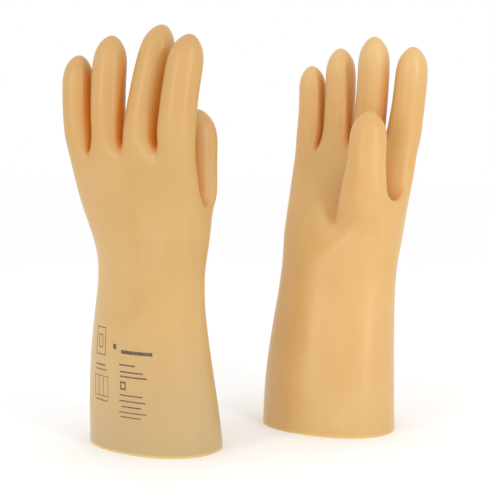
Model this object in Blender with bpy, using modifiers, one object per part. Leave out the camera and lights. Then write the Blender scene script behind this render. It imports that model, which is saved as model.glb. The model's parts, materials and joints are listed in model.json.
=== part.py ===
"""A pair of electrical insulating gloves of thick dipped latex, standing on their cuffs.

Each real glove is one seamless rubber moulding. Here its wall is parted at the lines where it
flexes: the wrist, the root of each digit and the middle of each digit. Every part is an open skin
grown from a coarse cage with Subdivision Surface and given its wall thickness with Solidify.

A glove is drawn with x towards the thumb side, y towards the palm side and z up, from the middle
of its cuff's rim. The hand and its digits are drawn with their heights above the wrist, and set on
the cuff. The left glove stands like that. The right one is its mirror image in y, so it shows its
palm where the left one shows its back.
"""

import math

import bpy
import numpy as np
from mathutils import Matrix, Vector

# Driving dimensions, in millimetres and degrees.
WALL = 3.2
CUFF_LENGTH = 172.0
RIM_HALF_WIDTH = 70.5
RIM_HALF_DEPTH = 50.0
RIM_TURN = -3.0
WRIST_HALF_WIDTH = 60.0
WRIST_HALF_DEPTH = 37.5
WRIST_CENTRE = (5.5, -13.0)
WRIST_TURN = -12.0
WRIST_LEAN = 9.0
SECTION_FLATNESS = 2.2
RIM_BAND = 8.0
WRIST_BAND = 8.0

# The cuff's rows between rim and wrist: share of its length, share of the rim's extra width, centre.
CUFF_ROWS = (
    (0.28, 0.86, (-1.2, -3.0)),
    (0.56, 0.52, (-0.4, -8.5)),
    (0.80, 0.14, (2.0, -12.0)),
)

# The rows of the hand: height over the wrist, centre, half width, half depth, turn, lean, flatness,
# and how far the palm swells or sinks on the thumb's side. The swell is a half wave of columns.
HEEL_ROW = (26.0, (6.5, -17.5), 64.0, 32.0, -10.0, 11.0, 2.2, 9.0)
SPLIT_ROW = (58.0, (6.8, -26.0), 67.0, 26.0, 0.0, 10.0, 2.4, 0.0)
PALM_ROW = (82.0, (6.8, -35.0), 69.0, 23.0, 0.0, 8.0, 2.5, -5.0)
KNUCKLE_ROW = (108.0, (6.0, -44.0), 69.0, 18.5, 0.0, 4.0, 2.7, 0.0)
SWELL_START = 4.2
SWELL_COLUMNS = 7.0
WEB_Y = -45.0

# Where the wall is parted: the rest gap, how far outside the skin each hinge line lies, and the
# skin's radius as a share of its cage's.
FLEX_GAP = 0.6
PIVOT_OUTSIDE = 0.6
SKIN_OF_CAGE = 0.93

# Where the two gloves stand, as (x, y) of the middle of each rim.
LEFT_STAND = (-63.3, -76.6)
RIGHT_STAND = (48.1, 76.6)

SKIN_COLOUR = (0.72, 0.44, 0.17, 1.0)
SKIN_ROUGHNESS = 0.42
SKIN_DETAIL = 1

# Each finger: its number along the palm, x at root and tip, y at tip, tip height over the wrist,
# and its radius at the root and above it.
FINGERS = {
    "little": (1, -49.0, -48.5, -50.0, 205.0, 15.4, 15.2),
    "ring": (2, -16.3, -12.0, -46.0, 222.0, 16.4, 16.6),
    "middle": (3, 19.6, 35.0, -30.0, 231.0, 17.8, 17.0),
    "index": (4, 59.4, 73.0, -42.0, 220.0, 18.8, 17.2),
}
FINGER_ROOT_Y = -48.0
FINGER_BOW = -4.0
FINGER_ROOT_HEIGHT = 124.0
FINGER_PARTING = 139.0
FINGER_TAPER = 0.05
ROOT_DEPTH = 15.5
FINGER_MIDDLE = 0.44
WEB_HEIGHTS = (115.0, 126.5, 122.0)
ROOT_LENGTH = 30.0

# How far each kind of parting's straight stretch reaches below and above it.
HAND_STRAIGHT = 9.0
DIGIT_STRAIGHT = 7.0
TIP_STRAIGHT = 6.0

# The end of a digit, as shares of its reach or radius: where its last rings lie, and its peak.
REACH_OF_FINGER = 1.15
REACH_OF_THUMB = 0.95
LAST_RING = 1.35
DOME_RING = 0.55
DOME_WIDTH = 0.89
DOME_PEAK = 0.66

THUMB_ROOT = (42.0, 6.5, 75.0)
THUMB_TIP = (47.0, 5.0, 153.5)
THUMB_BOW = (1.5, 2.0)
THUMB_ROOT_RADII = (24.5, 17.0)
THUMB_RADII = (20.0, 17.2)
THUMB_PARTING = 84.0
THUMB_MIDDLE = 111.0

# Columns of a palm row run from the little finger's side (0) over the palm side to the thumb's
# side (10) and back over the back of the hand. The thumb grows from columns 5 to 10.
COLUMNS = 20
THUMB_COLUMNS = (5, 6, 7, 8, 9, 10)
FINGER_CORNERS = 8
THUMB_CORNERS = 10
THUMB_EDGE = (
    (2.0, 2.5, 42.0),
    (16.0, 12.5, 48.0),
    (32.0, 21.5, 54.0),
    (49.0, 22.0, 58.0),
    (62.0, 9.0, 60.0),
    (70.5, -13.0, 60.0),
)
THUMB_CROTCH = (
    (16.5, -1.0, 49.0),
    (32.0, -9.5, 55.0),
    (46.5, -15.5, 58.0),
    (60.0, -18.5, 59.0),
)


def clear_scene():
    for obj in list(bpy.data.objects):
        bpy.data.objects.remove(obj, do_unlink=True)


def mix(start, end, share):
    return start + (end - start) * share


def through(points):
    """The corners of a closed ring whose smoothed curve passes through the points."""
    points = np.array(points, float)
    count = len(points)
    weights = np.zeros((count, count))
    for row in range(count):
        weights[row, row] = 4 / 6
        weights[row, (row + 1) % count] = 1 / 6
        weights[row, row - 1] = 1 / 6
    return np.linalg.solve(weights, points)


def turned(across, towards, turn):
    """(across, towards) turned by some degrees about the upright axis."""
    angle = math.radians(turn)
    return (
        across * math.cos(angle) - towards * math.sin(angle),
        across * math.sin(angle) + towards * math.cos(angle),
    )


def palm_row(height, centre, half_width, half_depth, turn, lean, flatness, swell=0.0):
    """The twenty points of a row round the hand or cuff, leaning back by some degrees."""
    points = []
    for column in range(COLUMNS):
        angle = math.pi - 2 * math.pi * column / COLUMNS
        across = math.cos(angle)
        towards = max(0.0, 1 - abs(across) ** flatness) ** (1 / flatness)
        towards = math.copysign(towards, math.sin(angle))
        if column in (0, 10):
            towards = 0.0
        depth = half_depth * towards
        if column in THUMB_COLUMNS:
            depth += swell * math.sin(math.pi * (column - SWELL_START) / SWELL_COLUMNS)
        x, y = turned(half_width * across, depth, turn)
        rise = depth * math.tan(math.radians(lean))
        points.append((centre[0] + x, centre[1] + y, height + rise))
    return points


class Digit:
    """A finger or the thumb: a curved axis with a rounded section."""

    def __init__(self, root, tip, bow, root_radii, radii, corners, start_angle):
        self.root = Vector(root)
        self.tip = Vector(tip)
        self.bow = Vector((bow[0], bow[1], 0.0))
        self.root_radii = root_radii
        self.radii = radii
        self.corners = corners
        self.start_angle = start_angle

    def at(self, height):
        """The axis point and its direction at a height."""
        share = (height - self.root.z) / (self.tip.z - self.root.z)
        point = self.root.lerp(self.tip, share) + self.bow * (4 * share * (1 - share))
        along = (self.tip - self.root) + self.bow * (4 * (1 - 2 * share))
        return point, along.normalized()

    def frame(self, height):
        """The axis point, its direction, and the directions across and towards the palm."""
        point, along = self.at(height)
        across = Vector((1.0, 0.0, 0.0))
        across = (across - along * across.dot(along)).normalized()
        towards = along.cross(across)
        return point, along, across, towards

    def ring(self, height, slide=0.0, scale=1.0, plane=None):
        """Corners of the ring at a height, slid along the axis there. plane: height of its tilt."""
        point, along, across, towards = self.frame(height if plane is None else plane)
        point = self.at(height)[0] + along * slide
        share = (height - self.root.z) / (self.tip.z - self.root.z)
        blend = min(1.0, max(0.0, (height - self.root.z) / ROOT_LENGTH))
        wide = mix(self.root_radii[0], self.radii[0], blend) * (1 - FINGER_TAPER * share) * scale
        deep = mix(self.root_radii[1], self.radii[1], blend) * (1 - FINGER_TAPER * share) * scale
        points = []
        for corner in range(self.corners):
            angle = self.start_angle - 2 * math.pi * corner / self.corners
            points.append(point + across * (wide * math.cos(angle)) + towards * (deep * math.sin(angle)))
        return through(points)

    def dome(self, reach):
        """The corners that close the tip: a narrower ring and the point above it."""
        point, along, _, _ = self.frame(self.tip.z)
        low = self.ring(self.tip.z - DOME_RING * reach, scale=DOME_WIDTH)
        return low, np.array(point + along * (DOME_PEAK * reach))


def finger(name):
    _, root_x, tip_x, tip_y, tip_height, root_radius, radius = FINGERS[name]
    return Digit(
        (root_x, FINGER_ROOT_Y, FINGER_ROOT_HEIGHT),
        (tip_x, tip_y, tip_height),
        (0.0, FINGER_BOW),
        (root_radius, ROOT_DEPTH),
        (radius, radius),
        FINGER_CORNERS,
        math.radians(135),
    )


def thumb():
    return Digit(
        THUMB_ROOT, THUMB_TIP, THUMB_BOW, THUMB_ROOT_RADII, THUMB_RADII, THUMB_CORNERS, math.pi
    )


class Skin:
    """An open cage of corners and faces, all facing outwards."""

    def __init__(self):
        self.points = []
        self.faces = []

    def add(self, ring):
        first = len(self.points)
        self.points.extend(tuple(point) for point in ring)
        return list(range(first, len(self.points)))

    def band(self, low, high):
        count = len(low)
        for corner in range(count):
            after = (corner + 1) % count
            self.faces.append((low[corner], high[corner], high[after], low[after]))

    def stack(self, rings):
        """Joins a run of rings and returns the indices of the last."""
        below = self.add(rings[0])
        for ring in rings[1:]:
            above = self.add(ring)
            self.band(below, above)
            below = above
        return below

    def close(self, ring, peak):
        top = self.add([peak])[0]
        for corner in range(0, len(ring), 2):
            last = ring[(corner + 2) % len(ring)]
            self.faces.append((top, last, ring[corner + 1], ring[corner]))


def parted_rings(digit, parting, below, above):
    """The rings just under and just over a parting, straight for a little way on both sides."""
    half = FLEX_GAP / 2
    under = [digit.ring(parting, -half - below, plane=parting), digit.ring(parting, -half, plane=parting)]
    over = [digit.ring(parting, half, plane=parting), digit.ring(parting, half + above, plane=parting)]
    return under, over


def wrist_row(slide, wrist_height=0.0):
    """The wrist's row, slid along the line of the wrist."""
    lean = math.radians(WRIST_LEAN)
    x, y = turned(0.0, -math.sin(lean) * slide, WRIST_TURN)
    centre = (WRIST_CENTRE[0] + x, WRIST_CENTRE[1] + y)
    height = wrist_height + math.cos(lean) * slide
    return palm_row(
        height, centre, WRIST_HALF_WIDTH, WRIST_HALF_DEPTH, WRIST_TURN, WRIST_LEAN, SECTION_FLATNESS
    )


def cuff_row(share, width_share, centre):
    """A row of the cuff, at a share of its length and with a share of the rim's extra width."""
    return palm_row(
        CUFF_LENGTH * share,
        centre,
        mix(WRIST_HALF_WIDTH, RIM_HALF_WIDTH, width_share),
        mix(WRIST_HALF_DEPTH, RIM_HALF_DEPTH, width_share),
        mix(RIM_TURN, WRIST_TURN, share),
        WRIST_LEAN * share**2,
        SECTION_FLATNESS,
    )


def cuff_skin():
    skin = Skin()
    half = FLEX_GAP / 2
    rows = [
        cuff_row(0.0, 1.0, (0.0, 0.0)),
        palm_row(RIM_BAND, (0.0, 0.0), RIM_HALF_WIDTH, RIM_HALF_DEPTH, RIM_TURN, 0.0, SECTION_FLATNESS),
        *[cuff_row(*row) for row in CUFF_ROWS],
        wrist_row(-half - WRIST_BAND, CUFF_LENGTH),
        wrist_row(-half, CUFF_LENGTH),
    ]
    skin.stack([through(row) for row in rows])
    return skin


def hand_skin():
    skin = Skin()
    half = FLEX_GAP / 2
    rows = (wrist_row(half), wrist_row(half + WRIST_BAND), palm_row(*HEEL_ROW))
    below = skin.stack([through(row) for row in rows])

    split = palm_row(*SPLIT_ROW)
    for column, corner in zip(THUMB_COLUMNS, THUMB_EDGE):
        split[column] = corner
    edge = skin.add(through(split))
    skin.band(below, edge)
    crotch = skin.add(THUMB_CROTCH)
    grip = thumb()
    under, _ = parted_rings(grip, THUMB_PARTING, HAND_STRAIGHT, DIGIT_STRAIGHT)
    root = edge[5:11] + crotch[::-1]
    for ring in under:
        above = skin.add(ring)
        skin.band(root, above)
        root = above

    below = edge[:6] + crotch + edge[10:]
    for row in (PALM_ROW, KNUCKLE_ROW):
        above = skin.add(through(palm_row(*row)))
        skin.band(below, above)
        below = above

    webs = [below[0]]
    names = list(FINGERS)
    for left, right, web in zip(names, names[1:], WEB_HEIGHTS):
        one = finger(left)
        other = finger(right)
        share = one.radii[0] / (one.radii[0] + other.radii[0])
        webs += skin.add([(mix(one.root.x, other.root.x, share), WEB_Y, web)])
    webs.append(below[10])
    for name in names:
        number = FINGERS[name][0]
        root = [
            below[2 * number - 1],
            below[2 * number],
            below[2 * number + 1],
            webs[number],
            below[19 - 2 * number],
            below[20 - 2 * number],
            below[21 - 2 * number],
            webs[number - 1],
        ]
        under, _ = parted_rings(finger(name), FINGER_PARTING, HAND_STRAIGHT, DIGIT_STRAIGHT)
        for ring in under:
            above = skin.add(ring)
            skin.band(root, above)
            root = above
    return skin


def base_skin(digit, parting, middle):
    """The part of a digit between its root and its middle."""
    _, over = parted_rings(digit, parting, DIGIT_STRAIGHT, DIGIT_STRAIGHT)
    under, _ = parted_rings(digit, middle, DIGIT_STRAIGHT, DIGIT_STRAIGHT)
    skin = Skin()
    skin.stack(over + under)
    return skin


def tip_skin(digit, middle, reach):
    """The closed end of a digit, over its middle."""
    _, over = parted_rings(digit, middle, DIGIT_STRAIGHT, TIP_STRAIGHT)
    skin = Skin()
    low, peak = digit.dome(reach)
    last = skin.stack(over + [digit.ring(digit.tip.z - LAST_RING * reach), low])
    skin.close(last, peak)
    return skin


def hinge(digit, parting, sideways):
    """Where a digit's hinge lies and the way it turns: to the palm, or sideways to the fingers."""
    point, _, across, towards = digit.frame(parting)
    corners = digit.ring(parting)
    reach_out = -across if sideways else towards
    reach = max(reach_out.dot(Vector(corner) - point) for corner in corners)
    pivot = point + reach_out * (reach * SKIN_OF_CAGE + PIVOT_OUTSIDE)
    return pivot, -towards if sideways else -across


def wrist_hinge():
    x, y = turned(0.0, WRIST_HALF_DEPTH + PIVOT_OUTSIDE, WRIST_TURN)
    rise = WRIST_HALF_DEPTH * math.tan(math.radians(WRIST_LEAN))
    pivot = Vector((WRIST_CENTRE[0] + x, WRIST_CENTRE[1] + y, rise))
    return pivot, Vector((*turned(-1.0, 0.0, WRIST_TURN), 0.0))


def hand_pieces():
    """The pieces over the wrist: (name, piece it hangs on, skin, pivot, hinge direction)."""
    pieces = [("hand", "cuff", hand_skin(), *wrist_hinge())]
    for name, numbers in FINGERS.items():
        digit = finger(name)
        middle = mix(FINGER_PARTING, digit.tip.z, FINGER_MIDDLE)
        skin = base_skin(digit, FINGER_PARTING, middle)
        pieces.append((f"{name}_base", "hand", skin, *hinge(digit, FINGER_PARTING, False)))
        skin = tip_skin(digit, middle, numbers[6] * REACH_OF_FINGER)
        pieces.append((f"{name}_tip", f"{name}_base", skin, *hinge(digit, middle, False)))
    digit = thumb()
    skin = base_skin(digit, THUMB_PARTING, THUMB_MIDDLE)
    pieces.append(("thumb_base", "hand", skin, *hinge(digit, THUMB_PARTING, True)))
    skin = tip_skin(digit, THUMB_MIDDLE, THUMB_RADII[0] * REACH_OF_THUMB)
    pieces.append(("thumb_tip", "thumb_base", skin, *hinge(digit, THUMB_MIDDLE, True)))
    return pieces


def glove_pieces():
    """Every piece of a glove, with the hand and its digits set on the cuff."""
    wrist = Vector((0.0, 0.0, CUFF_LENGTH))
    pieces = [("cuff", None, cuff_skin(), Vector((0.0, 0.0, 0.0)), None)]
    for name, carrier, skin, pivot, axis in hand_pieces():
        skin.points = [tuple(Vector(point) + wrist) for point in skin.points]
        pieces.append((name, carrier, skin, pivot + wrist, axis))
    return pieces


def latex():
    material = bpy.data.materials.new("latex")
    material.use_nodes = True
    shader = material.node_tree.nodes["Principled BSDF"]
    shader.inputs["Base Color"].default_value = SKIN_COLOUR
    shader.inputs["Roughness"].default_value = SKIN_ROUGHNESS
    material.diffuse_color = SKIN_COLOUR
    return material


def piece_object(name, skin, pivot, flip, material):
    """The solid of one piece, with its origin at the pivot."""
    scale = Vector((1.0, -1.0 if flip else 1.0, 1.0)) * 0.001
    points = [(Vector(point) - pivot) * scale for point in skin.points]
    faces = [face[::-1] for face in skin.faces] if flip else skin.faces
    mesh = bpy.data.meshes.new(name)
    mesh.from_pydata(points, [], faces)
    mesh.materials.append(material)
    mesh.shade_smooth()
    obj = bpy.data.objects.new(name, mesh)
    smooth = obj.modifiers.new("skin", "SUBSURF")
    smooth.levels = SKIN_DETAIL
    smooth.render_levels = SKIN_DETAIL
    wall = obj.modifiers.new("wall", "SOLIDIFY")
    wall.thickness = WALL * 0.001
    wall.offset = -1.0
    return obj


def build_glove(side, stand, flip, collection):
    material = latex()
    mirror = Vector((1.0, -1.0 if flip else 1.0, 1.0))
    bodies = {}
    for name, carrier, skin, pivot, axis in glove_pieces():
        obj = piece_object(f"{side}_{name}", skin, pivot, flip, material)
        place = Vector((stand[0], stand[1], 0.0)) + pivot * mirror
        obj.location = place * 0.001
        collection.objects.link(obj)
        bodies[name] = obj
        if carrier is None:
            continue
        line = bpy.data.objects.new(f"{side}_{name}_hinge", None)
        line.empty_display_size = 0.02
        line.location = obj.location
        turn = axis * mirror
        if flip:
            turn = -turn
        line.rotation_mode = "QUATERNION"
        line.rotation_quaternion = Vector((1.0, 0.0, 0.0)).rotation_difference(turn)
        collection.objects.link(line)
        bpy.context.view_layer.update()
        hold(line, bodies[carrier])
        hold(obj, line)
    return bodies


def hold(child, parent):
    """Parents without moving."""
    where = child.matrix_world.copy()
    child.parent = parent
    child.matrix_parent_inverse = Matrix.Identity(4)
    child.matrix_basis = parent.matrix_world.inverted() @ where
    bpy.context.view_layer.update()


clear_scene()
gloves = bpy.data.collections.new("electrical_insulating_gloves")
bpy.context.scene.collection.children.link(gloves)
build_glove("left", LEFT_STAND, False, gloves)
build_glove("right", RIGHT_STAND, True, gloves)
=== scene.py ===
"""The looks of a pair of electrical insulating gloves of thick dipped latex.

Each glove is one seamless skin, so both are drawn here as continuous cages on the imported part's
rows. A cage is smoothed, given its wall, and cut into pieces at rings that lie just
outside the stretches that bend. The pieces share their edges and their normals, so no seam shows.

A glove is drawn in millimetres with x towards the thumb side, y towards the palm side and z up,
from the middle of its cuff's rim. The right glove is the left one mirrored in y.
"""

import json
import math

import bmesh
import bpy
import numpy as np
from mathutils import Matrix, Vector
from mathutils.bvhtree import BVHTree

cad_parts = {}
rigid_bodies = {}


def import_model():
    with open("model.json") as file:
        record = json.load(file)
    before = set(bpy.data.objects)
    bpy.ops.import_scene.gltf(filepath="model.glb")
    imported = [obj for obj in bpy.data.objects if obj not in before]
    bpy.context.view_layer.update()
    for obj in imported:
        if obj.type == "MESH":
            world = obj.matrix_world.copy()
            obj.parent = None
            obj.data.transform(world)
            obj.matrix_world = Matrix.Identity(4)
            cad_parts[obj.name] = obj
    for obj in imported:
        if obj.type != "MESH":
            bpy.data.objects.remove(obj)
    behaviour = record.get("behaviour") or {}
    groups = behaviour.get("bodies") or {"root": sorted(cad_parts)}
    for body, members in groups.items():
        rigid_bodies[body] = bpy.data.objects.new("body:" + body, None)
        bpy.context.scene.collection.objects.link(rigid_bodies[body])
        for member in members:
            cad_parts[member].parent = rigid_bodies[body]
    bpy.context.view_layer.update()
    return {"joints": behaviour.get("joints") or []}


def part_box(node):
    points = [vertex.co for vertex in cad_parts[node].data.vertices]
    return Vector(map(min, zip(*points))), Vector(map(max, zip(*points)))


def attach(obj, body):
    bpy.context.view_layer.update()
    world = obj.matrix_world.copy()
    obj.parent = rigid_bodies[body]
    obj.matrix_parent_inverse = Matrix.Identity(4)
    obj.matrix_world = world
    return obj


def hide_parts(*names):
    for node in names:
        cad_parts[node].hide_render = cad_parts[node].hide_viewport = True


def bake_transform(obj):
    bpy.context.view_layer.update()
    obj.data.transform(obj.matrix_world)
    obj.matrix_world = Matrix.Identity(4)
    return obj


MM = 0.001

WALL = 3.2
CUFF_LENGTH = 172.0
RIM_HALF_WIDTH = 70.5
RIM_HALF_DEPTH = 50.0
RIM_TURN = -3.0
RIM_BAND = 8.0
WRIST_HALF_WIDTH = 60.0
WRIST_HALF_DEPTH = 37.5
WRIST_CENTRE = (5.5, -13.0)
WRIST_TURN = -12.0
WRIST_LEAN = 9.0
HINGE_OUTSIDE = 0.6
SECTION_FLATNESS = 2.2

# The cuff's rows between rim and wrist: share of its length, share of the rim's extra width, centre.
CUFF_ROWS = (
    (0.28, 0.86, (-1.2, -3.0)),
    (0.56, 0.52, (-0.4, -8.5)),
    (0.80, 0.14, (2.0, -12.0)),
)

# The rows of the hand: height, centre, half width, half depth, turn, lean, flatness, and how far
# the palm swells or sinks on the thumb's side. The swell is a half wave of columns.
HEEL_ROW = (198.0, (6.5, -17.5), 64.0, 32.0, -10.0, 11.0, 2.2, 9.0)
SPLIT_ROW = (230.0, (6.8, -26.0), 67.0, 26.0, 0.0, 10.0, 2.4, 0.0)
PALM_ROW = (254.0, (6.8, -35.0), 69.0, 23.0, 0.0, 8.0, 2.5, -5.0)
KNUCKLE_ROW = (280.0, (6.0, -44.0), 69.0, 18.5, 0.0, 4.0, 2.7, 0.0)
SWELL_START = 4.2
SWELL_COLUMNS = 7.0
WEB_Y = -45.0

# Each finger: its number along the palm, x at root and tip, y at tip, tip height, and its radius
# at the root and above it.
FINGERS = {
    "little": (1, -49.0, -48.5, -50.0, 377.0, 15.4, 15.2),
    "ring": (2, -16.3, -12.0, -46.0, 394.0, 16.4, 16.6),
    "middle": (3, 19.6, 35.0, -30.0, 403.0, 17.8, 17.0),
    "index": (4, 59.4, 73.0, -42.0, 392.0, 18.8, 17.2),
}
FINGER_ROOT_Y = -48.0
FINGER_BOW = -4.0
FINGER_ROOT_HEIGHT = 296.0
FINGER_BEND = 311.0
FINGER_TAPER = 0.05
ROOT_DEPTH = 15.5
FINGER_MIDDLE = 0.44
WEB_HEIGHTS = (287.0, 298.5, 294.0)
ROOT_LENGTH = 30.0

# The end of a digit, as shares of its reach or radius: where its last rings lie, and its peak.
FINGER_DOME = 1.15
LAST_RING = 1.35
DOME_RING = 0.55
DOME_WIDTH = 0.89
DOME_PEAK = 0.66

THUMB_ROOT = (42.0, 6.5, 247.0)
THUMB_TIP = (47.0, 5.0, 325.5)
THUMB_BOW = (1.5, 2.0)
THUMB_ROOT_RADII = (24.5, 17.0)
THUMB_RADII = (20.0, 17.2)
THUMB_BEND = 256.0
THUMB_MIDDLE = 283.0
THUMB_DOME = 0.95

COLUMNS = 20
THUMB_COLUMNS = (5, 6, 7, 8, 9, 10)
FINGER_CORNERS = 8
THUMB_CORNERS = 10
THUMB_EDGE = (
    (2.0, 2.5, 214.0),
    (16.0, 12.5, 220.0),
    (32.0, 21.5, 226.0),
    (49.0, 22.0, 230.0),
    (62.0, 9.0, 232.0),
    (70.5, -13.0, 232.0),
)
THUMB_CROTCH = (
    (16.5, -1.0, 221.0),
    (32.0, -9.5, 227.0),
    (46.5, -15.5, 230.0),
    (60.0, -18.5, 231.0),
)

# How far from a hinge the skin is cut, and how far from it the bending starts and ends.
CUT_REACH = 10.5
BEND_REACH = 8.0
WRIST_BEND = (-22.0, 20.0)
SKIN_DETAIL = 3

# How the hollows are felt out for the painted shade: rays from each point, how far they look, and
# how far off they start.
HOLLOW_RAYS = 24
HOLLOW_REACH = 45.0
HOLLOW_LIFT = 0.4

PIECES = ["cuff", "hand"]
for digit_name in (*FINGERS, "thumb"):
    PIECES += [f"{digit_name}_base", f"{digit_name}_tip"]


def mix(start, end, share):
    return start + (end - start) * share


def through(points):
    """The corners of a closed ring whose smoothed curve passes through the points."""
    points = np.array(points, float)
    count = len(points)
    weights = np.zeros((count, count))
    for row in range(count):
        weights[row, row] = 4 / 6
        weights[row, (row + 1) % count] = 1 / 6
        weights[row, row - 1] = 1 / 6
    return np.linalg.solve(weights, points)


def turned(across, towards, turn):
    """(across, towards) turned by some degrees about the upright axis."""
    angle = math.radians(turn)
    return (
        across * math.cos(angle) - towards * math.sin(angle),
        across * math.sin(angle) + towards * math.cos(angle),
    )


def palm_row(height, centre, half_width, half_depth, turn, lean, flatness, swell=0.0):
    """The twenty points of a row round the hand or cuff, leaning back by some degrees."""
    points = []
    for column in range(COLUMNS):
        angle = math.pi - 2 * math.pi * column / COLUMNS
        across = math.cos(angle)
        towards = max(0.0, 1 - abs(across) ** flatness) ** (1 / flatness)
        towards = math.copysign(towards, math.sin(angle))
        if column in (0, 10):
            towards = 0.0
        depth = half_depth * towards
        if column in THUMB_COLUMNS:
            depth += swell * math.sin(math.pi * (column - SWELL_START) / SWELL_COLUMNS)
        x, y = turned(half_width * across, depth, turn)
        rise = depth * math.tan(math.radians(lean))
        points.append((centre[0] + x, centre[1] + y, height + rise))
    return points


class Digit:
    """A finger or the thumb: a curved axis with a rounded section."""

    def __init__(self, root, tip, bow, root_radii, radii, corners, start_angle):
        self.root = Vector(root)
        self.tip = Vector(tip)
        self.bow = Vector((bow[0], bow[1], 0.0))
        self.root_radii = root_radii
        self.radii = radii
        self.corners = corners
        self.start_angle = start_angle

    def at(self, height):
        """The axis point and its direction at a height."""
        share = (height - self.root.z) / (self.tip.z - self.root.z)
        point = self.root.lerp(self.tip, share) + self.bow * (4 * share * (1 - share))
        along = (self.tip - self.root) + self.bow * (4 * (1 - 2 * share))
        return point, along.normalized()

    def ring(self, height, scale=1.0):
        """Corners of the ring square to the axis at a height."""
        point, along = self.at(height)
        across = Vector((1.0, 0.0, 0.0))
        across = (across - along * across.dot(along)).normalized()
        towards = along.cross(across)
        share = (height - self.root.z) / (self.tip.z - self.root.z)
        blend = min(1.0, max(0.0, (height - self.root.z) / ROOT_LENGTH))
        wide = mix(self.root_radii[0], self.radii[0], blend) * (1 - FINGER_TAPER * share) * scale
        deep = mix(self.root_radii[1], self.radii[1], blend) * (1 - FINGER_TAPER * share) * scale
        points = []
        for corner in range(self.corners):
            angle = self.start_angle - 2 * math.pi * corner / self.corners
            points.append(point + across * (wide * math.cos(angle)) + towards * (deep * math.sin(angle)))
        return through(points)

    def dome(self, reach):
        """The rings that round the tip off, and the point that closes it."""
        point, along = self.at(self.tip.z)
        shoulder = self.ring(self.tip.z - LAST_RING * reach)
        crown = self.ring(self.tip.z - DOME_RING * reach, scale=DOME_WIDTH)
        return shoulder, crown, np.array(point + along * (DOME_PEAK * reach))


def finger(name):
    _, root_x, tip_x, tip_y, tip_height, root_radius, radius = FINGERS[name]
    return Digit(
        (root_x, FINGER_ROOT_Y, FINGER_ROOT_HEIGHT),
        (tip_x, tip_y, tip_height),
        (0.0, FINGER_BOW),
        (root_radius, ROOT_DEPTH),
        (radius, radius),
        FINGER_CORNERS,
        math.radians(135),
    )


def thumb():
    return Digit(
        THUMB_ROOT, THUMB_TIP, THUMB_BOW, THUMB_ROOT_RADII, THUMB_RADII, THUMB_CORNERS, math.pi
    )


def digit_plan(name):
    """A digit with the heights of its two bends and the reach of its dome."""
    if name == "thumb":
        return thumb(), THUMB_BEND, THUMB_MIDDLE, THUMB_RADII[0] * THUMB_DOME
    digit = finger(name)
    middle = mix(FINGER_BEND, digit.tip.z, FINGER_MIDDLE)
    return digit, FINGER_BEND, middle, FINGERS[name][6] * FINGER_DOME


class Cage:
    """The corners and faces of a whole glove. Each face holds the number of its piece."""

    def __init__(self):
        self.points = []
        self.faces = []
        self.owners = []

    def add(self, ring):
        first = len(self.points)
        self.points.extend(tuple(point) for point in ring)
        return list(range(first, len(self.points)))

    def band(self, low, high, piece):
        count = len(low)
        for corner in range(count):
            after = (corner + 1) % count
            self.faces.append((low[corner], high[corner], high[after], low[after]))
            self.owners.append(PIECES.index(piece))

    def grow(self, below, ring, piece):
        above = self.add(ring)
        self.band(below, above, piece)
        return above

    def close(self, ring, peak, piece):
        top = self.add([peak])[0]
        for corner in range(0, len(ring), 2):
            last = ring[(corner + 2) % len(ring)]
            self.faces.append((top, last, ring[corner + 1], ring[corner]))
            self.owners.append(PIECES.index(piece))


def wrist_row():
    return palm_row(
        CUFF_LENGTH,
        WRIST_CENTRE,
        WRIST_HALF_WIDTH,
        WRIST_HALF_DEPTH,
        WRIST_TURN,
        WRIST_LEAN,
        SECTION_FLATNESS,
    )


def cuff_row(share, width_share, centre):
    """A row of the cuff, at a share of its length and with a share of the rim's extra width."""
    return palm_row(
        CUFF_LENGTH * share,
        centre,
        mix(WRIST_HALF_WIDTH, RIM_HALF_WIDTH, width_share),
        mix(WRIST_HALF_DEPTH, RIM_HALF_DEPTH, width_share),
        mix(RIM_TURN, WRIST_TURN, share),
        WRIST_LEAN * share**2,
        SECTION_FLATNESS,
    )


def grow_digit(cage, root, name):
    """A digit on the ring of corners that it grows from."""
    digit, bend, middle, reach = digit_plan(name)
    base = f"{name}_base"
    tip = f"{name}_tip"
    below = cage.grow(root, digit.ring(bend - CUT_REACH), "hand")
    below = cage.grow(below, digit.ring(bend), base)
    below = cage.grow(below, digit.ring(bend + CUT_REACH), base)
    below = cage.grow(below, digit.ring(middle - CUT_REACH), base)
    below = cage.grow(below, digit.ring(middle), tip)
    below = cage.grow(below, digit.ring(middle + CUT_REACH), tip)
    shoulder, crown, peak = digit.dome(reach)
    below = cage.grow(below, shoulder, tip)
    below = cage.grow(below, crown, tip)
    cage.close(below, peak, tip)


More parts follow.
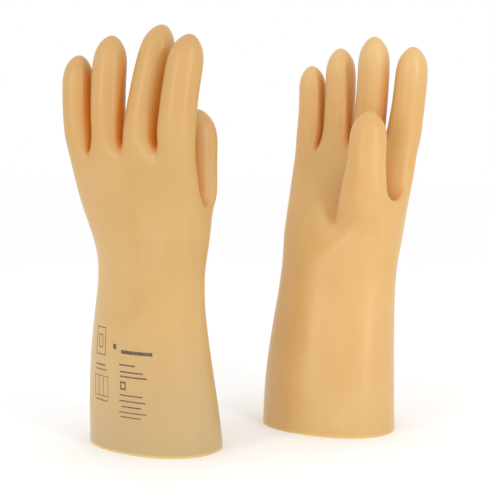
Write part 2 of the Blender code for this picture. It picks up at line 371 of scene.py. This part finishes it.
def glove_cage():
    cage = Cage()
    rows = [
        cuff_row(0.0, 1.0, (0.0, 0.0)),
        palm_row(RIM_BAND, (0.0, 0.0), RIM_HALF_WIDTH, RIM_HALF_DEPTH, RIM_TURN, 0.0, SECTION_FLATNESS),
        *[cuff_row(*row) for row in CUFF_ROWS],
        wrist_row(),
        palm_row(*HEEL_ROW),
    ]
    below = cage.add(through(rows[0]))
    for row in rows[1:]:
        below = cage.grow(below, through(row), "cuff")

    split = palm_row(*SPLIT_ROW)
    for column, corner in zip(THUMB_COLUMNS, THUMB_EDGE):
        split[column] = corner
    edge = cage.grow(below, through(split), "hand")
    crotch = cage.add(THUMB_CROTCH)
    grow_digit(cage, edge[5:11] + crotch[::-1], "thumb")

    below = edge[:6] + crotch + edge[10:]
    for row in (PALM_ROW, KNUCKLE_ROW):
        below = cage.grow(below, through(palm_row(*row)), "hand")

    webs = [below[0]]
    names = list(FINGERS)
    for left, right, web in zip(names, names[1:], WEB_HEIGHTS):
        one = finger(left)
        other = finger(right)
        share = one.radii[0] / (one.radii[0] + other.radii[0])
        webs += cage.add([(mix(one.root.x, other.root.x, share), WEB_Y, web)])
    webs.append(below[10])
    for name in names:
        number = FINGERS[name][0]
        root = [
            below[2 * number - 1],
            below[2 * number],
            below[2 * number + 1],
            webs[number],
            below[19 - 2 * number],
            below[20 - 2 * number],
            below[21 - 2 * number],
            webs[number - 1],
        ]
        grow_digit(cage, root, name)
    return cage


class Place:
    """Turns a glove's own millimetres into the frame's metres."""

    def __init__(self, side):
        self.mirror = Vector((1.0, -1.0 if side == "right" else 1.0, 1.0))
        joint = next(j for j in frame["joints"] if j["name"] == f"{side}_wrist")
        x, y = turned(0.0, WRIST_HALF_DEPTH + HINGE_OUTSIDE, WRIST_TURN)
        wrist = Vector((WRIST_CENTRE[0] + x, WRIST_CENTRE[1] + y, 0.0)) * self.mirror
        spot = Vector(joint["pos_m"]) / MM - wrist
        self.stand = Vector((spot.x, spot.y, 0.0))

    def __call__(self, point):
        return (Vector(point) * self.mirror + self.stand) * MM


def smoothed(cage, place):
    """The whole glove's evaluated skin as a mesh, with the rim's faces numbered after the pieces."""
    mirrored = place.mirror.y < 0
    faces = [face[::-1] for face in cage.faces] if mirrored else cage.faces
    mesh = bpy.data.meshes.new("cage")
    mesh.from_pydata([place(point) for point in cage.points], [], faces)
    for _ in range(len(PIECES) + 1):
        mesh.materials.append(None)
    mesh.polygons.foreach_set("material_index", cage.owners)
    obj = bpy.data.objects.new("cage", mesh)
    bpy.context.scene.collection.objects.link(obj)
    smooth = obj.modifiers.new("skin", "SUBSURF")
    smooth.levels = SKIN_DETAIL
    smooth.render_levels = smooth.levels
    wall = obj.modifiers.new("wall", "SOLIDIFY")
    wall.thickness = WALL * MM
    wall.offset = -1.0
    wall.material_offset_rim = len(PIECES)
    graph = bpy.context.evaluated_depsgraph_get()
    whole = bpy.data.meshes.new_from_object(obj.evaluated_get(graph))
    bpy.data.objects.remove(obj, do_unlink=True)
    return whole


def read(mesh):
    """(points, faces, owners) of a mesh of quads as arrays."""
    points = np.empty(len(mesh.vertices) * 3)
    mesh.vertices.foreach_get("co", points)
    faces = np.empty(len(mesh.loops), np.int64)
    mesh.loops.foreach_get("vertex_index", faces)
    owners = np.empty(len(mesh.polygons), np.int64)
    mesh.polygons.foreach_get("material_index", owners)
    return points.reshape(-1, 3), faces.reshape(-1, 4), owners


def face_normals(points, faces):
    """Each quad's normal, as long as twice its area."""
    one = points[faces[:, 2]] - points[faces[:, 0]]
    other = points[faces[:, 3]] - points[faces[:, 1]]
    return np.cross(one, other)


def unit(vectors):
    return vectors / np.maximum(np.linalg.norm(vectors, axis=1, keepdims=True), 1e-12)


def corner_normals(points, faces, rim):
    """Each point's smooth normal, and each corner's, which are flat over the cut rim."""
    flat = face_normals(points, faces)
    smooth = np.zeros_like(points)
    for corner in range(4):
        np.add.at(smooth, faces[~rim, corner], flat[~rim])
    smooth = unit(smooth)
    corners = smooth[faces]
    corners[rim] = unit(flat[rim])[:, None, :]
    return smooth, corners


# How shut in each point is sets the painted shade in the latex's colour.
def hollows(points, faces, normals):
    """How shut in each outer point is, from 0 in the open to 1 deep in a gap between digits.

    Solidify puts the inner wall's points after the outer ones, and they stay 0.
    """
    tree = BVHTree.FromPolygons(points.tolist(), faces.tolist())
    rays = []
    for ray in range(HOLLOW_RAYS):
        rise = 1 - (ray + 0.5) / HOLLOW_RAYS
        turn = ray * math.pi * (3 - math.sqrt(5))
        flat = math.sqrt(1 - rise * rise)
        rays.append(Vector((flat * math.cos(turn), flat * math.sin(turn), rise)))
    shut = np.zeros(len(points))
    for number in range(len(points) // 2):
        up = Vector(normals[number])
        turn = Vector((0.0, 0.0, 1.0)).rotation_difference(up)
        start = Vector(points[number]) + up * (HOLLOW_LIFT * MM)
        hits = 0.0
        for ray in rays:
            distance = tree.ray_cast(start, turn @ ray, HOLLOW_REACH * MM)[3]
            if distance is not None:
                hits += 1 - 0.5 * distance / (HOLLOW_REACH * MM)
        shut[number] = hits / HOLLOW_RAYS
    return shut


def piece_mesh(name, points, faces, corners, slots, shut):
    """A piece of the glove's skin that keeps the whole skin's normals and its place at rest."""
    used, index = np.unique(faces, return_inverse=True)
    mesh = bpy.data.meshes.new(name)
    mesh.from_pydata(points[used].tolist(), [], index.reshape(-1, 4).tolist())
    mesh.shade_smooth()
    mesh.normals_split_custom_set(corners.reshape(-1, 3).tolist())
    rest = mesh.attributes.new("rest_place", "FLOAT_VECTOR", "POINT")
    rest.data.foreach_set("vector", points[used].astype(np.float32).ravel())
    # How shut in each point is, kept for the painted shade in the latex's colour.
    shade_occlusion = mesh.attributes.new("shade_occlusion", "FLOAT", "POINT")
    shade_occlusion.data.foreach_set("value", shut[used].astype(np.float32))
    mesh.polygons.foreach_set("material_index", slots)
    return mesh


def show(obj):
    bpy.context.scene.collection.objects.link(obj)
    return obj


def wrist_point(slide):
    """A point on the wrist's leaning axis, some millimetres up it from the wrist."""
    lean = math.radians(WRIST_LEAN)
    x, y = turned(0.0, -math.sin(lean) * slide, WRIST_TURN)
    return WRIST_CENTRE[0] + x, WRIST_CENTRE[1] + y, CUFF_LENGTH + math.cos(lean) * slide


def bend_line(piece, place):
    """The points where the bending of a piece starts and ends."""
    if piece == "cuff":
        return place(wrist_point(WRIST_BEND[0])), place(wrist_point(WRIST_BEND[1]))
    name, part = piece.rsplit("_", 1)
    digit, bend, middle, _ = digit_plan(name)
    point, along = digit.at(bend if part == "base" else middle)
    return place(point - along * BEND_REACH), place(point + along * BEND_REACH)


def build_glove(side, skin, edge):
    """All pieces of one glove. Returns its cuff, for the stamp."""
    place = Place(side)
    points, faces, owners = read(smoothed(glove_cage(), place))
    rim = owners >= len(PIECES)
    smooth, corners = corner_normals(points, faces, rim)
    shut = hollows(points, faces, smooth)
    made = {}
    for number, piece in enumerate(PIECES):
        mine = (owners == number) | (owners == number + len(PIECES))
        name = f"{side}_{piece}_skin"
        slots = rim[mine].astype(np.int32)
        mesh = piece_mesh(name, points, faces[mine], corners[mine], slots, shut)
        mesh.materials.append(skin)
        if rim[mine].any():
            mesh.materials.append(edge)
        obj = show(bpy.data.objects.new(name, mesh))
        made[piece] = obj
        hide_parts(f"{side}_{piece}")
        if piece == "hand":
            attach(obj, f"{side}_hand")
            continue
        start, end = bend_line(piece, place)
        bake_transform(obj)
    return made["cuff"]


# The latex: pale where light catches it, with painted shade in the hollows between the digits (a
# saturated orange-brown that stands in for their shade and the light bounced between their walls),
# paler at the fingertips, greyer towards the rim of the left glove, and with a painted glow along
# the cut at the bottom.
LATEX = (0.64, 0.382, 0.134)
LATEX_PALE = (0.68, 0.428, 0.165)
LATEX_DEEP = (0.61, 0.328, 0.094)
LATEX_RIM = (0.49, 0.37, 0.19)
LATEX_TIP = (0.72, 0.50, 0.235)
# Painted shade for the gaps between the digits.
LATEX_PAINTED_SHADE = (0.69, 0.225, 0.014)
# The cut's colour is a painted glow, a thin bright line along the bottom edge.
EDGE_GLOW_COLOUR = (0.70, 0.52, 0.20)
INK_COLOUR = (0.085, 0.062, 0.042)
FLOOR_COLOUR = (0.985, 0.985, 0.985)

# Each glove's latex: how bright it is (partly its own tone, partly painted shade on the left glove and
# painted light on the right that even out how the softboxes light them), how grey its rim, how pale
# its fingertips and how strong the painted shade in its hollows.
GLOVE_LATEX = {
    "left": (0.87, 0.75, 0.0, 1.0),
    "right": (1.02, 0.15, 0.5, 0.65),
}

# Heights in metres between which the rim's grey, the painted glow along the cut, the tips' pallor and
# the warmer tint of the hand fade, and how shut in the skin is where its painted shade starts and
# where it is full.
RIM_FADE = (0.005, 0.13)
CUT_GLOW_FADE = (0.0015, 0.003)
TIP_FADE = (0.335, 0.395)
HAND_FADE = (0.18, 0.32)
PAINTED_SHADE_FADE = (0.17, 0.60)

# How fine each pattern in the latex is, as noise scales over metres.
CLOUDS = 14.0
STREAKS = 60.0
STREAK_STRETCH = (1.0, 1.0, 0.18)
GLOSS_PATCHES = 28.0
WAVES = 38.0
GRAIN = 900.0
SCRAPES = 420.0
WORN_INK = 700.0


class Nodes:
    """A small helper to build a material's nodes."""

    def __init__(self, name):
        self.material = bpy.data.materials.new(name)
        self.material.use_nodes = True
        self.tree = self.material.node_tree
        self.shader = self.tree.nodes["Principled BSDF"]

    def add(self, kind, inputs=None, **settings):
        node = self.tree.nodes.new(kind)
        for key, value in settings.items():
            setattr(node, key, value)
        for key, value in (inputs or {}).items():
            self.feed(node.inputs[key], value)
        return node

    def feed(self, socket, value):
        if isinstance(value, bpy.types.NodeSocket):
            self.tree.links.new(value, socket)
        else:
            socket.default_value = value

    def rest(self):
        """Where a point of the skin is at rest, in the frame's metres."""
        return self.add("ShaderNodeAttribute", attribute_name="rest_place").outputs["Vector"]

    def noise(self, place, scale, detail=2.0, roughness=0.5):
        inputs = {"Vector": place, "Scale": scale, "Detail": detail, "Roughness": roughness}
        return self.add("ShaderNodeTexNoise", inputs).outputs["Fac"]

    def ranged(self, value, low, high, out_low, out_high):
        inputs = {"Value": value, 1: low, 2: high, 3: out_low, 4: out_high}
        return self.add("ShaderNodeMapRange", inputs).outputs["Result"]

    def bumps(self, *layers):
        """Bump layers, each (height, strength, distance in metres), one over the other."""
        normal = None
        for height, strength, distance in layers:
            inputs = {"Height": height, "Strength": strength, "Distance": distance}
            if normal is not None:
                inputs["Normal"] = normal
            normal = self.add("ShaderNodeBump", inputs).outputs["Normal"]
        self.feed(self.shader.inputs["Normal"], normal)

    def blend_colours(self, share, one, other):
        node = self.add("ShaderNodeMix", data_type="RGBA")
        self.feed(node.inputs["Factor"], share)
        self.feed(node.inputs[6], one)
        self.feed(node.inputs[7], other)
        return node.outputs[2]


def rgba(colour):
    return (*colour, 1.0)


def latex(side):
    """Dipped latex of one glove: cloudy and streaked in colour, with a soft uneven gloss."""
    tone, rim_share, tip_share, painted_shade_share = GLOVE_LATEX[side]
    nodes = Nodes(f"{side}_latex")
    rest = nodes.rest()
    height = nodes.add("ShaderNodeSeparateXYZ", {"Vector": rest}).outputs["Z"]

    # The tone scales the glove's colours: partly the two gloves' own difference in tone, partly painted
    # shade on the left glove and painted light on the right that even out how the softboxes light them.
    def toned(colour):
        return rgba([min(1.0, part * tone) for part in colour])

    clouds = nodes.ranged(nodes.noise(rest, CLOUDS, 3.0), 0.35, 0.65, 0.0, 1.0)
    colour = nodes.blend_colours(clouds, toned(LATEX), toned(LATEX_PALE))
    tall = nodes.add("ShaderNodeMapping", {"Vector": rest, "Scale": STREAK_STRETCH})
    runs = nodes.ranged(nodes.noise(tall.outputs["Vector"], STREAKS, 4.0), 0.45, 0.8, 0.0, 0.3)
    colour = nodes.blend_colours(runs, colour, toned(LATEX_DEEP))
    warm = nodes.ranged(height, *HAND_FADE, 0.0, 0.45)
    colour = nodes.blend_colours(warm, colour, toned(LATEX_DEEP))
    pale = nodes.ranged(height, *TIP_FADE, 0.0, tip_share)
    colour = nodes.blend_colours(pale, colour, toned(LATEX_TIP))
    colour = nodes.blend_colours(nodes.ranged(height, *RIM_FADE, rim_share, 0.0), colour, rgba(LATEX_RIM))
    # Painted shade: the gaps between the digits turn a saturated dark orange, standing in for their shade
    # and the light bounced between the latex walls.
    shade_occlusion = nodes.add("ShaderNodeAttribute", attribute_name="shade_occlusion").outputs["Fac"]
    shut = nodes.ranged(shade_occlusion, *PAINTED_SHADE_FADE, 0.0, painted_shade_share)
    colour = nodes.blend_colours(shut, colour, rgba(LATEX_PAINTED_SHADE))
    # Painted glow: the lowest few millimetres of the skin take the cut's light colour.
    colour = nodes.blend_colours(nodes.ranged(height, *CUT_GLOW_FADE, 0.8, 0.0), colour, rgba(EDGE_GLOW_COLOUR))
    nodes.feed(nodes.shader.inputs["Base Color"], colour)

    patches = nodes.noise(rest, GLOSS_PATCHES, 3.0)
    nodes.feed(nodes.shader.inputs["Roughness"], nodes.ranged(patches, 0.3, 0.7, 0.28, 0.40))
    nodes.feed(nodes.shader.inputs["Specular IOR Level"], 0.45)
    nodes.feed(nodes.shader.inputs["IOR"], 1.5)

    waves = nodes.noise(rest, WAVES, 1.5)
    grain = nodes.noise(rest, GRAIN, 3.0)
    nodes.bumps((waves, 0.12, 0.002), (grain, 0.18, 0.00012))
    return nodes.material


def glowing_cut():
    """The rim, the cut face of the wall, given a painted glow: a light colour that stands in for the
    bright line along the cut, with paler scraped patches.
    """
    nodes = Nodes("cut_latex_glow")
    rest = nodes.rest()
    scrape = nodes.noise(rest, SCRAPES, 3.0)
    share = nodes.ranged(scrape, 0.3, 0.7, 0.0, 0.5)
    colour = nodes.blend_colours(share, rgba(EDGE_GLOW_COLOUR), rgba(LATEX_PALE))
    nodes.feed(nodes.shader.inputs["Base Color"], colour)
    nodes.feed(nodes.shader.inputs["Roughness"], nodes.ranged(scrape, 0.3, 0.7, 0.5, 0.65))
    nodes.bumps((scrape, 0.3, 0.0002))
    return nodes.material


def ink():
    """The stamped marks: dark ink, a little worn."""
    nodes = Nodes("ink")
    rest = nodes.rest()
    worn = nodes.noise(rest, WORN_INK, 3.0)
    share = nodes.ranged(worn, 0.5, 0.75, 0.0, 0.5)
    colour = nodes.blend_colours(share, rgba(INK_COLOUR), rgba(LATEX_DEEP))
    nodes.feed(nodes.shader.inputs["Base Color"], colour)
    nodes.feed(nodes.shader.inputs["Roughness"], nodes.ranged(worn, 0.3, 0.7, 0.5, 0.6))
    return nodes.material


# The stamp on the left cuff's back: plain marks that say nothing. Each place is (mm round the cuff
# from the stamp's middle, height).
STAMP_AZIMUTH = -88.0
STAMP_RADIUS = 60.0
STAMP_LIFT = 0.06
STAMP_CELL = 1.2
LINE = 0.9


def bar(across, height, width, tall):
    """A bar's left, bottom, right and top, from its middle and its size."""
    return (across - width / 2, height - tall / 2, across + width / 2, height + tall / 2)


def frame_bars(across, height, width, tall, line):
    """The four bars of an empty box."""
    return [
        bar(across, height + (tall - line) / 2, width, line),
        bar(across, height - (tall - line) / 2, width, line),
        bar(across - (width - line) / 2, height, line, tall),
        bar(across + (width - line) / 2, height, line, tall),
    ]


def stamp_bars():
    """Two nested boxes, a spot and a heavy bar, rows of thin bars, and three blank boxes."""
    bars = frame_bars(-39.0, 106.0, 18.0, 27.0, LINE) + frame_bars(-39.0, 106.0, 8.0, 13.0, LINE)
    bars += [bar(-14.0, 103.0, 5.0, 5.0), bar(15.0, 99.0, 38.0, 3.4)]
    for across, height, width in ((4.0, 86.5, 22.0), (9.0, 80.0, 30.0), (11.0, 75.5, 34.0)):
        bars.append(bar(across, height, width, 1.4))
    bars += frame_bars(-2.0, 66.5, 8.0, 8.0, 1.6)
    for across, height, width in ((8.0, 57.5, 30.0), (9.0, 52.0, 34.0), (8.0, 46.5, 26.0)):
        bars.append(bar(across, height, width, 1.2))
    bars += [bar(9.0, 41.0, 36.0, 1.0), bar(7.0, 36.5, 28.0, 1.0)]
    bars += [bar(-39.0, 83.0, 18.0, 1.4), bar(-38.0, 78.5, 20.0, 1.0)]
    for column in range(3):
        bars += frame_bars(-46.0 + 8.0 * column, 62.5, 8.6, 20.0, 0.6)
    bars += [bar(-38.0, 48.5, 22.0, 1.0)]
    return bars


def stamp(cuff, material):
    """Thin marks that follow the cuff's skin and ride on it."""
    lowest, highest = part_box("left_cuff")
    middle = (lowest + highest) / 2
    tree = BVHTree.FromObject(cuff, bpy.context.evaluated_depsgraph_get())
    reach = RIM_HALF_WIDTH * MM
    shape = bmesh.new()
    for x0, z0, x1, z1 in stamp_bars():
        columns = max(1, math.ceil((x1 - x0) / STAMP_CELL))
        rows = max(1, math.ceil((z1 - z0) / STAMP_CELL))
        grid = []
        for row in range(rows + 1):
            line = []
            for column in range(columns + 1):
                turn = mix(x0, x1, column / columns) / STAMP_RADIUS
                angle = math.radians(STAMP_AZIMUTH) + turn
                out = Vector((math.cos(angle), math.sin(angle), 0.0))
                height = mix(z0, z1, row / rows) * MM
                source = Vector((middle.x, middle.y, height)) + out * (3 * reach)
                hit, normal, _, _ = tree.ray_cast(source, -out)
                line.append(shape.verts.new(hit + normal * (STAMP_LIFT * MM)))
            grid.append(line)
        for low, high in zip(grid, grid[1:]):
            for column in range(columns):
                shape.faces.new((low[column], low[column + 1], high[column + 1], high[column]))
    mesh = bpy.data.meshes.new("left_cuff_stamp")
    shape.normal_update()
    shape.to_mesh(mesh)
    shape.free()
    mesh.shade_smooth()
    places = np.empty(len(mesh.vertices) * 3, np.float32)
    mesh.vertices.foreach_get("co", places)
    mesh.attributes.new("rest_place", "FLOAT_VECTOR", "POINT").data.foreach_set("vector", places)
    mesh.materials.append(material)
    obj = show(bpy.data.objects.new("left_cuff_stamp", mesh))
    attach(obj, "left_cuff")


# The camera: its distance in metres, the direction and pitch of its view in degrees, its height and
# how far it stands aside in metres, and its focal length as a share of the image's width.
VIEW_AZIMUTH = 31.55
VIEW_PITCH = 5.22
VIEW_DISTANCE = 1.151
VIEW_ASIDE = -0.006
VIEW_HEIGHT = 0.298
VIEW_LENS = 2.3616
SENSOR = 36.0
FLOOR_REACH = 6.0

# Each softbox: its name, how far forward, sideways and up it stands, its width and height, and its
# power in watts. They look at the gloves at LIGHT_TARGET. All lengths are metres.
LIGHT_TARGET = 0.2
SOFTBOXES = (
    ("key", -1.0, 0.7, 0.6, 0.16, 1.0, 3.6),
    ("fill", -1.0, -1.0, 0.6, 0.20, 1.0, 3.0),
)


def view_directions():
    angle = math.radians(VIEW_AZIMUTH)
    ahead = Vector((-math.sin(angle), math.cos(angle), 0.0))
    aside = Vector((math.cos(angle), math.sin(angle), 0.0))
    return ahead, aside


def camera():
    data = bpy.data.cameras.new("camera")
    data.sensor_width = SENSOR
    data.lens = SENSOR * VIEW_LENS
    obj = show(bpy.data.objects.new("camera", data))
    ahead, aside = view_directions()
    obj.location = aside * VIEW_ASIDE - ahead * VIEW_DISTANCE + Vector((0.0, 0.0, VIEW_HEIGHT))
    obj.rotation_euler = (math.radians(90.0 - VIEW_PITCH), 0.0, math.radians(VIEW_AZIMUTH))
    bpy.context.scene.camera = obj


def softbox(name, forward, sideways, height, width, tall, power):
    """An area light that looks at the gloves, placed in metres along the view's directions."""
    data = bpy.data.lights.new(name, "AREA")
    data.shape = "RECTANGLE"
    data.size = width
    data.size_y = tall
    data.energy = power
    obj = show(bpy.data.objects.new(name, data))
    ahead, aside = view_directions()
    obj.location = ahead * forward + aside * sideways + Vector((0.0, 0.0, height))
    look = Vector((0.0, 0.0, LIGHT_TARGET)) - obj.location
    obj.rotation_euler = look.to_track_quat("-Z", "Y").to_euler()


def studio():
    """A white room of even light, a softbox on each side and a pale floor."""
    world = bpy.data.worlds.new("studio")
    world.use_nodes = True
    background = world.node_tree.nodes["Background"]
    background.inputs["Color"].default_value = (1.0, 1.0, 1.0, 1.0)
    background.inputs["Strength"].default_value = 1.0
    bpy.context.scene.world = world
    for light in SOFTBOXES:
        softbox(*light)
    mesh = bpy.data.meshes.new("floor")
    corners = [(-FLOOR_REACH, -FLOOR_REACH), (FLOOR_REACH, -FLOOR_REACH)]
    corners += [(FLOOR_REACH, FLOOR_REACH), (-FLOOR_REACH, FLOOR_REACH)]
    mesh.from_pydata([(x, y, 0.0) for x, y in corners], [], [(0, 1, 2, 3)])
    nodes = Nodes("floor")
    nodes.feed(nodes.shader.inputs["Base Color"], rgba(FLOOR_COLOUR))
    nodes.feed(nodes.shader.inputs["Roughness"], 0.9)
    mesh.materials.append(nodes.material)
    show(bpy.data.objects.new("floor", mesh))


for obj in list(bpy.data.objects):
    bpy.data.objects.remove(obj, do_unlink=True)
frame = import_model()
bpy.context.scene.view_settings.view_transform = "Standard"
edge = glowing_cut()
left_cuff = build_glove("left", latex("left"), edge)
build_glove("right", latex("right"), edge)
stamp(left_cuff, ink())
studio()
camera()
